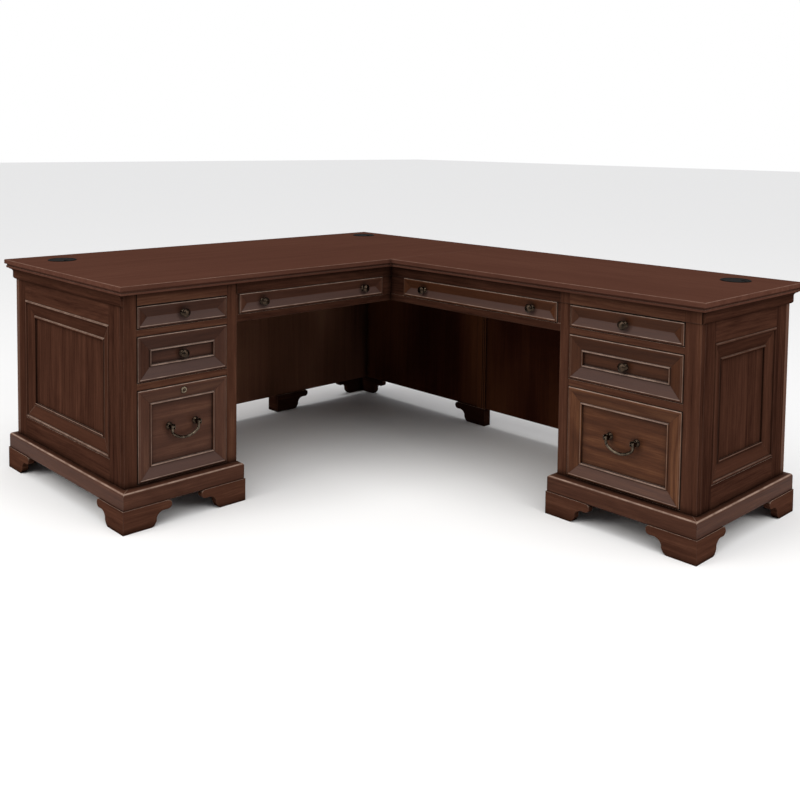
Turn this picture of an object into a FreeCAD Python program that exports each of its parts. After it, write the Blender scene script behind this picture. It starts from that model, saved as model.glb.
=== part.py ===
"""Corner desk: a pedestal desk and a matching pedestal return that meet at a right angle.

Millimetres, +Z up. The origin is on the floor under the middle of the whole footprint. The desk
runs along Y and its drawers open towards +X. The return runs along X and its drawers open
towards -Y. Positions below are first given from the outer back corner of the two tops.
"""
import FreeCAD, Part
import math
import os
import types

import Sketcher

# ---------------------------------------------------------------- driving dimensions

DIMENSIONS = [
    ("height", 762),
    ("top_thickness", 29),
    ("desk_length", 1740),
    ("desk_depth", 862),
    ("return_reach", 1290),
    ("return_depth", 634),
    ("end_inset", 31),
    ("front_inset", 41),
    ("desk_pedestal_width", 411),
    ("return_pedestal_width", 499),
    ("edge_width", 12),
    ("edge_fascia_low", 14),
    ("cornice_height", 41),
    ("cornice_out", 19),
    ("cornice_fascia_out", 9),
    ("cornice_fascia_top", 23),
    ("cornice_fascia_low", 8),
    ("foot_height", 74),
    ("plinth_top", 127),
    ("plinth_rail", 45),
    ("plinth_round", 9),
    ("plinth_side_ledge", 22),
    ("plinth_front_ledge", 35),
    ("desk_plinth_inner_ledge", 7),
    ("return_plinth_inner_ledge", 14),
    ("foot_proud", 3),
    ("foot_board", 22),
    ("foot_arm", 170),
    ("foot_toe", 99),
    ("foot_throat", 115),
    ("foot_cove_end", 146),
    ("foot_lobe", 14),
    ("frame_board", 22),
    ("inner_board", 18),
    ("floor_board", 10),
    ("cleat_height", 50),
    ("panel_board", 8),
    ("panel_recess", 14),
    ("panel_bottom", 201),
    ("panel_top", 625),
    ("moulding_width", 60),
    ("moulding_bead", 10),
    ("moulding_proud", 3),
    ("desk_side_front_stile", 93),
    ("desk_side_rear_stile", 75),
    ("return_side_front_stile", 80),
    ("return_side_rear_stile", 88),
    ("back_stile", 76),
    ("back_moulding_width", 45),
    ("desk_outer_stile", 44),
    ("desk_inner_stile", 39),
    ("return_outer_stile", 53),
    ("return_inner_stile", 37),
    ("drawer_gap", 2),
    ("front_board", 22),
    ("front_proud", 4),
    ("frieze_proud", 3),
    ("frieze_low", 692),
    ("file_low", 132),
    ("file_high", 426),
    ("middle_low", 449),
    ("middle_high", 595),
    ("upper_low", 617),
    ("upper_high", 690),
    ("pencil_low", 622),
    ("apron_low", 597),
    ("desk_pencil_left", 8),
    ("desk_pencil_right", 45),
    ("return_pencil_left", 72),
    ("return_pencil_right", 11),
    ("front_band", 7),
    ("bevel_width", 37),
    ("bevel_depth", 7),
    ("bead_width", 6),
    ("bead_height", 3),
    ("field_depth", 12),
    ("trough_depth", 6),
    ("box_board", 14),
    ("box_bottom", 6),
    ("groove_depth", 8),
    ("runner_height", 16),
    ("groove_play", 0.5),
    ("slide_space", 13),
    ("desk_box_depth", 560),
    ("return_box_depth", 450),
    ("pencil_box_depth", 380),
    ("desk_slide_length", 500),
    ("return_slide_length", 440),
    ("knob_size", 29),
    ("knob_reach", 29),
    ("pull_spread", 96),
    ("pull_reach", 22),
    ("bail_drop", 40),
    ("bail_wire", 9),
    ("bail_eye", 10.5),
    ("bail_eye_length", 9.5),
    ("bail_pin", 3.4),
    ("eye_play", 0.5),
    ("post_head", 15.5),
    ("lock_size", 19),
    ("lock_plug", 12),
    ("lock_play", 0.05),
    ("lock_level", 404),
    ("modesty_board", 18),
    ("modesty_inset", 62),
    ("modesty_low", 74),
    ("end_panel_inset", 28),
    ("post_width", 45),
    ("post_depth", 36),
    ("post_proud", 14),
    ("post_reed", 6),
    ("post_groove", 3),
    ("middle_foot_start", 577),
    ("middle_foot_inset", 22),
    ("middle_foot_back", 44),
    ("grommet_size", 98),
    ("grommet_hole", 88),
    ("grommet_wall", 2.5),
    ("grommet_lip", 2.5),
    ("cap_play", 0.5),
    ("cap_board", 3),
    ("cap_notch", 16),
    ("bracket_thickness", 3),
]

PLAY = 0.5
VECTOR = FreeCAD.Vector
UP = VECTOR(0, 0, 1)
ACROSS = VECTOR(1, 0, 0)

document = FreeCAD.newDocument("corner_desk")
sheet = document.addObject("Spreadsheet::Sheet", "sizes")
nodes = []


class Size:
    """A length that knows both its number and the sheet formula that gives it."""

    def __init__(self, number, text=None):
        self.number = float(number)
        self.text = text if text else repr(float(number))

    def __add__(self, other):
        other = size(other)
        return Size(self.number + other.number, f"({self.text} + {other.text})")

    def __sub__(self, other):
        other = size(other)
        return Size(self.number - other.number, f"({self.text} - {other.text})")

    def __mul__(self, factor):
        return Size(self.number * factor, f"({self.text} * {factor})")

    def __truediv__(self, factor):
        return Size(self.number / factor, f"({self.text} / {factor})")

    def __radd__(self, other):
        return size(other) + self

    def __rsub__(self, other):
        return size(other) - self

    def __rmul__(self, factor):
        return self * factor

    def __neg__(self):
        return Size(-self.number, f"(-1 * {self.text})")


def size(value):
    """Any number as a Size."""
    return value if isinstance(value, Size) else Size(value)


def fill_sheet():
    """Write the driving dimensions into the sheet and hand them back by name."""
    named = {}
    for row, (name, number) in enumerate(DIMENSIONS, start=1):
        sheet.set(f"A{row}", name)
        sheet.set(f"B{row}", str(number))
        sheet.setAlias(f"B{row}", name)
        named[name] = Size(number, f"sizes.{name}")
    document.recompute()
    return types.SimpleNamespace(**named)


S = fill_sheet()

# ---------------------------------------------------------------- document helpers


def bind(item, **lengths):
    """Tie properties of an object to the sheet."""
    for name, length in lengths.items():
        length = size(length)
        if "sizes." in length.text:
            item.setExpression(name, length.text)
        else:
            setattr(item, name, length.number)


def place(item, at=(0, 0, 0), turn=0, tip=0):
    """Tip an object about X, turn it about Z and set it down at a point."""
    rotation = FreeCAD.Rotation(UP, turn) * FreeCAD.Rotation(ACROSS, tip)
    base = [size(value) for value in at]
    item.Placement = FreeCAD.Placement(VECTOR(*[value.number for value in base]), rotation)
    for letter, value in zip("xyz", base):
        if "sizes." in value.text:
            item.setExpression(f"Placement.Base.{letter}", value.text)
    return item


def box(at, extent):
    """A board from its low corner and its size along X, Y and Z."""
    board = document.addObject("Part::Box", "board")
    bind(board, Length=extent[0], Width=extent[1], Height=extent[2])
    return place(board, at)


def cylinder(radius, height, at=(0, 0, 0), turn=0, tip=0):
    """A round bar that stands on its low end."""
    rod = document.addObject("Part::Cylinder", "rod")
    bind(rod, Radius=radius, Height=height)
    return place(rod, at, turn, tip)


def cut(base, *tools):
    """The base with every tool taken out of it."""
    for tool in tools:
        pair = document.addObject("Part::Cut", "cut")
        pair.Base = base
        pair.Tool = tool
        base = pair
    return base


def fuse(*pieces):
    """One solid of several."""
    joined = document.addObject("Part::MultiFuse", "joined")
    joined.Shapes = list(pieces)
    joined.Refine = True
    return joined


def rounded(base, radius, wanted):
    """The base with a round on each edge that the test picks."""
    document.recompute()
    edges = [
        (number, radius, radius)
        for number, edge in enumerate(base.Shape.Edges, start=1)
        if wanted(edge.BoundBox)
    ]
    fillet = document.addObject("Part::Fillet", "rounded")
    fillet.Base = base
    fillet.Edges = edges
    return fillet


def node(label, pieces, at=(0, 0, 0), turn=0, tip=0):
    """One named sub-part: its separate solids, placed from the outer back corner."""
    group = document.addObject("Part::Compound", label)
    group.Label = label
    group.Links = list(pieces)
    corner_x = (S.desk_depth + S.return_reach) / -2
    corner_y = S.desk_length / 2
    place(group, (corner_x + at[0], corner_y + at[1], at[2]), turn, tip)
    nodes.append(group)
    return group


# ---------------------------------------------------------------- sketched bodies


def origin_plane(body, role):
    """One of the body's own origin planes."""
    return next(plane for plane in body.Origin.OriginFeatures if plane.Role == role)


def sketch_on(body, role):
    """An empty sketch on one of the body's origin planes."""
    sketch = body.newObject("Sketcher::SketchObject", "outline")
    sketch.AttachmentSupport = (origin_plane(body, role), [""])
    sketch.MapMode = "FlatFace"
    return sketch


def end_at(sketch, index, point):
    """Which end of an edge lies at a point, as the sketcher numbers ends."""
    return 1 if (sketch.getPoint(index, 1) - point).Length < 1e-6 else 2


def draw(sketch, corners, closed=True):
    """An outline. Each corner is (a, b), or (a, b, bulge) for an arc on to the next one.

    A bulge is the arc's height over its chord, positive to the left of the way along.
    """
    points = [VECTOR(size(corner[0]).number, size(corner[1]).number, 0) for corner in corners]
    count = len(points)
    edges = count if closed else count - 1
    for index in range(edges):
        first = points[index]
        last = points[(index + 1) % count]
        if len(corners[index]) == 2:
            sketch.addGeometry(Part.LineSegment(first, last))
            continue
        way = (last - first).normalize()
        middle = (first + last) / 2 + VECTOR(-way.y, way.x, 0) * corners[index][2]
        sketch.addGeometry(Part.Arc(first, middle, last))
        sketch.addConstraint(Sketcher.Constraint("Radius", index, sketch.Geometry[index].Radius))
    for index, corner in enumerate(corners):
        after = min(index, edges - 1)
        here = end_at(sketch, after, points[index])
        before = (index - 1) % count
        if closed or 0 < index < edges:
            join = (before, end_at(sketch, before, points[index]), after, here)
            sketch.addConstraint(Sketcher.Constraint("Coincident", *join))
        for kind, length in zip(("DistanceX", "DistanceY"), corner[:2]):
            length = size(length)
            fixed = (-1, 1, after, here, length.number)
            number = sketch.addConstraint(Sketcher.Constraint(kind, *fixed))
            if "sizes." in length.text:
                sketch.renameConstraint(number, f"corner{index}{kind[-1]}")
                sketch.setExpression(f"Constraints.corner{index}{kind[-1]}", length.text)


def pad(corners, length, role="YZ_Plane"):
    """A body made by pushing an outline out of one of its origin planes."""
    body = document.addObject("PartDesign::Body", "body")
    sketch = sketch_on(body, role)
    draw(sketch, corners)
    feature = body.newObject("PartDesign::Pad", "pad")
    feature.Profile = sketch
    bind(feature, Length=length)
    return body


def turned(corners):
    """A body of revolution about Y from a half outline of (radius, height) corners."""
    body = document.addObject("PartDesign::Body", "body")
    sketch = sketch_on(body, "XY_Plane")
    draw(sketch, corners)
    feature = body.newObject("PartDesign::Revolution", "spin")
    feature.Profile = sketch
    feature.ReferenceAxis = (sketch, ["V_Axis"])
    feature.Angle = 360
    return body


# ---------------------------------------------------------------- mitred lengths


def bar(profile, length, reach, tall, ends):
    """A length of moulding along X. Its profile has Y across, from 0 to reach, and Z up.

    An end of 1 is a mitre that grows with Y, -1 one that shrinks, and 0 a square end.
    """
    grow = [reach if end > 0 else size(0) for end in ends]
    run = pad(profile, length + grow[0] + grow[1])
    place(run, (-grow[0], 0, 0))
    if ends == (0, 0):
        return run
    plan = document.addObject("Part::Wedge", "plan")
    bind(
        plan, Xmin=0, Xmax=length, Ymin=0, Ymax=reach, Zmin=tall[0], Zmax=tall[1],
        X2min=-(reach * ends[0]), X2max=length + reach * ends[1], Z2min=tall[0], Z2max=tall[1],
    )
    mitred = document.addObject("Part::Common", "mitred")
    mitred.Base = run
    mitred.Tool = plan
    return mitred


def inward_ring(profile, reach, tall, low, extent):
    """Four mitred lengths that line a rectangular opening in the XY plane."""
    x, y = low
    wide, high = extent
    sides = [
        (wide, (x, y), 0),
        (high, (x + wide, y), 90),
        (wide, (x + wide, y + high), 180),
        (high, (x, y + high), 270),
    ]
    return [
        place(bar(profile, length, reach, tall, (-1, -1)), (*at, 0), turn)
        for length, at, turn in sides
    ]


def outward_ring(profile, reach, tall, low, extent, z):
    """Four mitred lengths round the outside of a rectangle in the XY plane."""
    x, y = low
    wide, high = extent
    sides = [
        (wide, (x + wide, y), 180),
        (high, (x + wide, y + high), 270),
        (wide, (x, y + high), 0),
        (high, (x, y), 90),
    ]
    return [
        place(bar(profile, length, reach, tall, (1, 1)), (*at, z), turn)
        for length, at, turn in sides
    ]


# ---------------------------------------------------------------- the two wings

TOTAL_X = S.desk_depth + S.return_reach
BODY_TOP = S.height - S.top_thickness


def wing(name, **values):
    """The sizes that differ between the desk and the return, under common names."""
    return types.SimpleNamespace(name=name, **values)


DESK = wing(
    "desk",
    turn=90,
    front=(S.desk_depth - S.front_inset, S.end_inset - S.desk_length),
    width=S.desk_pedestal_width,
    depth=S.desk_depth - S.front_inset - S.end_inset,
    outer_left=True,
    left_stile=S.desk_outer_stile,
    right_stile=S.desk_inner_stile,
    side_at=(S.end_inset, S.end_inset - S.desk_length),
    side_turn=0,
    side_low_stile=S.desk_side_rear_stile,
    side_high_stile=S.desk_side_front_stile,
    back_at=(S.end_inset, S.end_inset - S.desk_length + S.desk_pedestal_width),
    back_turn=270,
    inner_ledge=S.desk_plinth_inner_ledge,
    box_depth=S.desk_box_depth,
    slide_length=S.desk_slide_length,
    frieze_over_stiles=False,
)
RETURN = wing(
    "return",
    turn=0,
    front=(TOTAL_X - S.end_inset - S.return_pedestal_width, S.front_inset - S.return_depth),
    width=S.return_pedestal_width,
    depth=S.return_depth - S.front_inset - S.end_inset,
    outer_left=False,
    left_stile=S.return_inner_stile,
    right_stile=S.return_outer_stile,
    side_at=(TOTAL_X - S.end_inset, S.front_inset - S.return_depth),
    side_turn=90,
    side_low_stile=S.return_side_front_stile,
    side_high_stile=S.return_side_rear_stile,
    back_at=(TOTAL_X - S.end_inset, -S.end_inset),
    back_turn=180,
    inner_ledge=S.return_plinth_inner_ledge,
    box_depth=S.return_box_depth,
    slide_length=S.return_slide_length,
    frieze_over_stiles=True,
)


def wing_node(side, label, pieces):
    """A node whose pieces are drawn facing the drawers: X right, Y into the wing, Z up."""
    return node(f"{side.name}_{label}", pieces, (*side.front, 0), side.turn)


def from_outer(side, start, width):
    """The X of a board that starts this far in from the pedestal's outer side."""
    return start if side.outer_left else side.width - start - width


# ---------------------------------------------------------------- tops and cornice


def edge_profile():
    """Thumb-moulded edge: a fascia over a hollow and a small bead."""
    out = S.edge_width
    low = S.edge_fascia_low
    thick = S.top_thickness
    return [
        (0, 0),
        (out - 5, 0),
        (out - 5, 5, -1.2),
        (out - 8, 7),
        (out - 7, 8, 2.0),
        (out - 1.5, low),
        (out, low),
        (out, thick - 3, -0.88),
        (out - 3, thick),
        (0, thick),
    ]


def edge_bar(length, ends, at, turn):
    """One moulded edge of a top."""
    tall = (0, S.top_thickness)
    return place(bar(edge_profile(), length, S.edge_width, tall, ends), (*at, BODY_TOP), turn)


def grommet_centres():
    """The three cable holes, as (x, y) from the outer back corner."""
    return {
        "desk_end": (size(150), 149 - S.desk_length),
        "corner": (size(131), size(-119)),
        "return_end": (TOTAL_X - 164, size(-141)),
    }


def cable_hole(centre):
    """The round hole that a grommet sleeve goes through."""
    return cylinder(S.grommet_hole / 2, S.top_thickness + 20, (*centre, BODY_TOP - 10))


def desk_top():
    """The desk's slab, moulded on three sides and on its front as far as the return."""
    edge = S.edge_width
    deep = S.desk_depth
    long = S.desk_length
    core = box((edge, edge - long, BODY_TOP), (deep - edge * 2, long - edge * 2, S.top_thickness))
    joint = box((deep - edge, -S.return_depth, BODY_TOP), (edge, S.return_depth - edge, S.top_thickness))
    tail = box((deep - edge, -edge, BODY_TOP), (edge, edge, S.top_thickness))
    edges = [
        edge_bar(deep - edge * 2, (1, 1), (deep - edge, edge - long), 180),
        edge_bar(long - edge * 2, (1, 1), (edge, edge - long), 90),
        edge_bar(deep - edge * 2, (1, 0), (edge, -edge), 0),
        edge_bar(long - S.return_depth - edge, (0, 1), (deep - edge, -S.return_depth), 270),
    ]
    slab = fuse(core, joint, tail, *edges)
    holes = grommet_centres()
    return node("desk_top", [cut(slab, cable_hole(holes["desk_end"]), cable_hole(holes["corner"]))])


def return_top():
    """The return's slab, moulded on three sides and square where it meets the desk."""
    edge = S.edge_width
    reach = S.return_reach
    deep = S.return_depth
    core = box((S.desk_depth, edge - deep, BODY_TOP), (reach - edge, deep - edge * 2, S.top_thickness))
    edges = [
        edge_bar(reach - edge, (1, 0), (TOTAL_X - edge, edge - deep), 180),
        edge_bar(deep - edge * 2, (1, 1), (TOTAL_X - edge, -edge), 270),
        edge_bar(reach - edge, (0, 1), (S.desk_depth, -edge), 0),
    ]
    slab = fuse(core, *edges)
    return node("return_top", [cut(slab, cable_hole(grommet_centres()["return_end"]))])


def cornice_moulding():
    """Cove moulding under the tops, round the outer side and back of each pedestal."""
    tall = (0, S.cornice_height)
    profile = [
        (0, 0),
        (2, 0, -1.6),
        (S.cornice_fascia_out, S.cornice_fascia_low),
        (S.cornice_fascia_out, S.cornice_fascia_top, 3.6),
        (S.cornice_out, S.cornice_height - 4),
        (S.cornice_out, S.cornice_height),
        (0, S.cornice_height),
    ]
    z = BODY_TOP - S.cornice_height
    low_y = S.end_inset - S.desk_length
    high_x = TOTAL_X - S.end_inset
    runs = [
        (DESK.depth, (0, 1), (S.desk_depth - S.front_inset, low_y), 180),
        (DESK.width, (1, 0), (S.end_inset, low_y), 90),
        (RETURN.depth, (1, 0), (high_x, -S.end_inset), 270),
        (RETURN.width, (0, 1), (high_x - RETURN.width, -S.end_inset), 0),
    ]
    lengths = [
        place(bar(profile, length, S.cornice_out, tall, ends), (*at, z), turn)
        for length, ends, at, turn in runs
    ]
    return node("cornice_moulding", lengths)


# ---------------------------------------------------------------- pedestal case


def panel_moulding(width):
    """Profile of the moulding round a panel: outer bead, slope, inner bead, then the panel."""
    recess = S.panel_recess
    bead = S.moulding_bead
    inner = width - 9
    return [
        (0, -recess),
        (width, -recess),
        (width, -recess + 4, -3.0),
        (width - 7, -recess + 4),
        (inner, -recess + 3),
        (bead + 2, -2.5),
        (bead, -2.5, -4.8),
        (0, -2.5),
    ]


def framed_opening(width, low, extent):
    """The panel board and its four mitred mouldings, seen from outside, Z outwards."""
    board = box(
        (low[0], low[1], -(S.panel_recess + S.panel_board)),
        (extent[0], extent[1], S.panel_board),
    )
    tall = (-S.panel_recess, S.moulding_proud)
    return [board] + inward_ring(panel_moulding(width), width, tall, low, extent)


def side_frame(side):
    """Stiles and rails of the pedestal's outer side."""
    thick = S.frame_board
    x = from_outer(side, size(0), thick)
    front_stile = side.side_high_stile if side.outer_left else side.side_low_stile
    rear_stile = side.side_low_stile if side.outer_left else side.side_high_stile
    inner = side.depth - thick * 2
    tall = BODY_TOP - S.plinth_top
    rail_long = side.depth - front_stile - rear_stile
    pieces = [
        box((x, thick, S.plinth_top), (thick, front_stile - thick, tall)),
        box((x, thick + inner - (rear_stile - thick), S.plinth_top), (thick, rear_stile - thick, tall)),
        box((x, front_stile, S.plinth_top), (thick, rail_long, S.panel_bottom - S.plinth_top)),
        box((x, front_stile, S.panel_top), (thick, rail_long, BODY_TOP - S.panel_top)),
    ]
    return wing_node(side, "side_frame", pieces)


def side_panel(side):
    """Recessed panel and mouldings of the pedestal's outer side."""
    wide = side.depth - side.side_low_stile - side.side_high_stile
    extent = (wide, S.panel_top - S.panel_bottom)
    pieces = framed_opening(S.moulding_width, (side.side_low_stile, S.panel_bottom), extent)
    return node(f"{side.name}_side_panel", pieces, (*side.side_at, 0), side.side_turn, 90)


def pedestal_back(side):
    """The pedestal's back, framed and panelled like its side."""
    thick = S.frame_board
    stile = S.back_stile
    tall = BODY_TOP - S.plinth_top
    rail = side.width - stile * 2
    frame = [
        box((0, S.plinth_top, -thick), (stile, tall, thick)),
        box((side.width - stile, S.plinth_top, -thick), (stile, tall, thick)),
        box((stile, S.plinth_top, -thick), (rail, S.panel_bottom - S.plinth_top, thick)),
        box((stile, S.panel_top, -thick), (rail, BODY_TOP - S.panel_top, thick)),
    ]
    extent = (rail, S.panel_top - S.panel_bottom)
    pieces = frame + framed_opening(S.back_moulding_width, (stile, S.panel_bottom), extent)
    return node(f"{side.name}_pedestal_back", pieces, (*side.back_at, 0), side.back_turn, 90)


def openings(side):
    """Height range of each drawer opening in a pedestal."""
    return {
        "file_drawer": (S.file_low, S.file_high),
        "middle_drawer": (S.middle_low, S.middle_high),
        "upper_drawer": (S.upper_low, S.upper_high),
    }


def wall_faces(side):
    """X of the inside faces of the pedestal's left and right walls."""
    left = S.frame_board if side.outer_left else S.inner_board
    right = S.inner_board if side.outer_left else S.frame_board
    return left, side.width - right


def case_boards(side):
    """Kneehole side and bottom of the pedestal, and the cleats that carry the drawer runners."""
    left, right = wall_faces(side)
    deep = side.depth - S.frame_board * 2
    x = from_outer(side, side.width - S.inner_board, S.inner_board)
    pieces = [
        box((x, S.frame_board, S.plinth_top), (S.inner_board, deep, BODY_TOP - S.plinth_top)),
        box((left, S.frame_board, S.plinth_top), (right - left, deep, S.floor_board)),
    ]
    start = side.width - side.right_stile
    for name, (low, high) in openings(side).items():
        bottom, tall = box_range(name, low, high)
        z = bottom + tall / 2 - S.cleat_height / 2
        for x, wide in ((left, side.left_stile - left), (start, right - start)):
            pieces.append(box((x, S.frame_board, z), (wide, side.slide_length, S.cleat_height)))
    return wing_node(side, "case_boards", pieces)


def face_frame(side):
    """Stiles and rails round the drawer openings, with the frieze under the top."""
    thick = S.frame_board
    rail = side.width - side.left_stile - side.right_stile
    x = side.left_stile
    stile_top = S.frieze_low if side.frieze_over_stiles else BODY_TOP
    tall = stile_top - S.plinth_top
    frieze_x = size(0) if side.frieze_over_stiles else x
    frieze_wide = side.width if side.frieze_over_stiles else rail
    frieze = (frieze_wide, thick + S.frieze_proud, BODY_TOP - S.frieze_low)
    pieces = [
        box((0, 0, S.plinth_top), (side.left_stile, thick, tall)),
        box((side.width - side.right_stile, 0, S.plinth_top), (side.right_stile, thick, tall)),
        box((x, 0, S.plinth_top), (rail, thick, S.file_low - S.plinth_top)),
        box((x, 0, S.file_high), (rail, thick, S.middle_low - S.file_high)),
        box((x, 0, S.middle_high), (rail, thick, S.upper_low - S.middle_high)),
        box((frieze_x, -S.frieze_proud, S.frieze_low), frieze),
    ]
    return wing_node(side, "face_frame", pieces)


# ---------------------------------------------------------------- plinth and feet


def plinth_rectangle(side):
    """Low corner and size of the plinth's outside, facing the drawers."""
    left = S.plinth_side_ledge if side.outer_left else side.inner_ledge
    wide = side.width + S.plinth_side_ledge + side.inner_ledge
    deep = side.depth + S.plinth_front_ledge + S.plinth_side_ledge
    return (-left, -S.plinth_front_ledge), (wide, deep)


def plinth(side):
    """Four mitred rails with a rounded upper edge, which the pedestal stands on."""
    low, extent = plinth_rectangle(side)
    rail = S.plinth_rail
    tall = S.plinth_top - S.foot_height
    turn = S.plinth_round
    bulge = -S.plinth_round.number * (2 ** 0.5 - 1) / 2 ** 0.5
    profile = [(0, 0), (rail, 0), (rail, tall - turn, bulge), (rail - turn, tall), (0, tall)]
    inner_low = (low[0] + rail, low[1] + rail)
    inner_extent = (extent[0] - rail * 2, extent[1] - rail * 2)
    pieces = outward_ring(profile, rail, (0, tall), inner_low, inner_extent, S.foot_height)
    return wing_node(side, "plinth", pieces)


def foot_outline(way):
    """Bracket foot seen from outside: toe, ogee throat and a round lobe under the plinth."""
    high = S.foot_height
    lobe = S.foot_lobe
    tip = S.foot_arm
    sign = -1 if way > 0 else 1
    bulge = sign * (lobe.number - 1)
    return [
        (0, 0),
        (S.foot_toe * way, 0, sign * 2.6),
        (S.foot_throat * way, high - 54),
        (S.foot_throat * way, high - 46, sign * -6.5),
        (S.foot_cove_end * way, high - lobe * 2),
        ((tip - lobe) * way, high - lobe * 2, bulge),
        ((tip - lobe) * way, high),
        (0, high),
    ]


def foot_arm(way):
    """One board of a bracket foot, mitred where it meets its neighbour at the corner."""
    board = pad(foot_outline(way), S.foot_board, "XZ_Plane")
    place(board, (0, S.foot_board, 0))
    plan = document.addObject("Part::Wedge", "plan")
    near = (0, S.foot_arm) if way > 0 else (-S.foot_arm, 0)
    far = (S.foot_board, S.foot_arm) if way > 0 else (-S.foot_arm, -S.foot_board)
    bind(
        plan, Ymin=0, Ymax=S.foot_board, Xmin=near[0], Xmax=near[1], X2min=far[0], X2max=far[1],
        Zmin=0, Zmax=S.foot_height, Z2min=0, Z2max=S.foot_height,
    )
    mitred = document.addObject("Part::Common", "arm")
    mitred.Base = board
    mitred.Tool = plan
    return mitred


def corner_foot(at, turn):
    """Two arms that meet at a corner: one along X, one along Y, before the turn."""
    along = place(foot_arm(1), (*at, 0), turn)
    other = place(foot_arm(-1), (*at, 0), turn - 90)
    return [along, other]


def pedestal_feet(side):
    """Bracket feet at the four corners of a plinth."""
    low, extent = plinth_rectangle(side)
    proud = S.foot_proud
    left = low[0] - proud
    front = low[1] - proud
    right = left + extent[0] + proud * 2
    back = front + extent[1] + proud * 2
    corners = [((left, front), 0), ((right, front), 90), ((right, back), 180), ((left, back), 270)]
    return [arm for at, turn in corners for arm in corner_foot(at, turn)]


# ---------------------------------------------------------------- kneehole boards


def desk_modesty_panel():
    """Board across the back of the desk's kneehole."""
    start = S.end_inset - S.desk_length + S.desk_pedestal_width
    long = -S.end_panel_inset - S.modesty_board - start
    thick = S.modesty_board
    board = box((S.modesty_inset, start, S.modesty_low), (thick, long, BODY_TOP - S.modesty_low))
    notch = (thick, DESK.inner_ledge, S.plinth_top - S.modesty_low)
    return node("desk_modesty_panel", [cut(board, box((S.modesty_inset, start, S.modesty_low), notch))])


def desk_end_panel():
    """Board that closes the desk's far end, with the reeded post at its front edge."""
    y = -S.end_panel_inset - S.modesty_board
    front = S.desk_depth - S.front_inset + S.post_proud
    tall = BODY_TOP - S.foot_height
    board = box(
        (S.end_inset, y, S.foot_height),
        (front - S.end_inset - S.post_width, S.modesty_board, tall),
    )
    post = box((front - S.post_width, y - 6, S.foot_height), (S.post_width, S.post_depth, tall))
    grooves = [
        box(
            (front - (S.post_reed + S.post_groove) * count, y - 7, S.foot_height),
            (S.post_groove, S.post_groove + 1, tall),
        )
        for count in (1, 2)
    ]
    return node("desk_end_panel", [board, cut(post, *grooves)])


def return_modesty_panel():
    """Board across the back of the return's kneehole."""
    start = S.desk_depth - S.front_inset + S.post_proud
    long = TOTAL_X - S.end_inset - S.return_pedestal_width - start
    y = -S.end_panel_inset - S.modesty_board
    thick = S.modesty_board
    board = box((start, y, S.modesty_low), (long, thick, BODY_TOP - S.modesty_low))
    ledge = RETURN.inner_ledge
    notch = (ledge, thick, S.plinth_top - S.modesty_low)
    return node("return_modesty_panel", [cut(board, box((start + long - ledge, y, S.modesty_low), notch))])


def desk_feet():
    """Feet under the desk's pedestal, the corner, the modesty panel and the end post."""
    inset = S.middle_foot_inset
    corner = corner_foot((inset, -inset), 270)
    face = S.modesty_inset + S.modesty_board + 4
    thick = S.foot_board
    behind = S.middle_foot_back
    return_arm = [(-behind, 0), (thick, 0), (0, thick), (-behind, thick)]
    middle = [
        place(foot_arm(1), (face, -S.middle_foot_start, 0), 90),
        place(pad(return_arm, S.foot_height, "XY_Plane"), (face - thick, -S.middle_foot_start, 0)),
    ]
    front = S.desk_depth - S.front_inset + S.post_proud
    inner = -S.end_panel_inset - S.modesty_board - 6
    deep = S.post_depth
    post_arm = [(0, 0), (0, deep), (-thick, deep), (-thick, thick)]
    post = [
        place(foot_arm(-1), (front, inner, 0)),
        place(pad(post_arm, S.foot_height, "XY_Plane"), (front, inner, 0)),
    ]
    under_pedestal = place_group(pedestal_feet(DESK), (*DESK.front, 0), DESK.turn)
    return node("desk_feet", [under_pedestal] + corner + middle + post)


def return_feet():
    """Feet under the return's pedestal."""
    return wing_node(RETURN, "feet", pedestal_feet(RETURN))


def apron(side, left, opening_left, opening_right, right):
    """Frieze, lower rail and end fillers round a kneehole drawer."""
    thick = S.frame_board
    wide = right - left
    clear = size(0) if side.outer_left else S.frieze_proud
    frieze = (wide - clear, thick + S.frieze_proud, BODY_TOP - S.frieze_low)
    return [
        box((left + clear, -S.frieze_proud, S.frieze_low), frieze),
        box((left, 0, S.apron_low), (wide, thick, S.pencil_low - S.apron_low)),
        box((left, 0, S.pencil_low), (opening_left, thick, S.frieze_low - S.pencil_low)),
        box((right - opening_right, 0, S.pencil_low), (opening_right, thick, S.frieze_low - S.pencil_low)),
    ]


def knee_span(side):
    """X range of the wing's kneehole, facing the drawers."""
    if side.outer_left:
        return side.width, S.desk_length - S.end_inset - S.return_depth + S.front_inset
    return S.desk_depth - S.front_inset - side.front[0], size(0)


def pencil_margins(side):
    """How far the pencil drawer's opening stands in from the kneehole's two ends."""
    if side.outer_left:
        return S.desk_pencil_left, S.desk_pencil_right
    return S.return_pencil_left, S.return_pencil_right


def knee_apron(side):
    """The wing's apron, with the two hangers that carry its pencil drawer."""
    left, right = knee_span(side)
    margin_left, margin_right = pencil_margins(side)
    pieces = apron(side, left, margin_left, margin_right, right)
    thick = S.frame_board
    deep = side.slide_length - 60
    z = S.pencil_low
    tall = BODY_TOP - z
    if margin_left.number < thick.number:
        left_board = (left, margin_left)
        right_board = (right - margin_right, thick)
    else:
        left_board = (left + margin_left - thick, thick)
        right_board = (right - margin_right, margin_right)
    for x, wide in (left_board, right_board):
        pieces.append(box((x, thick, z), (wide, deep, tall)))
    return wing_node(side, "apron", pieces)


# ---------------------------------------------------------------- drawers


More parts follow.
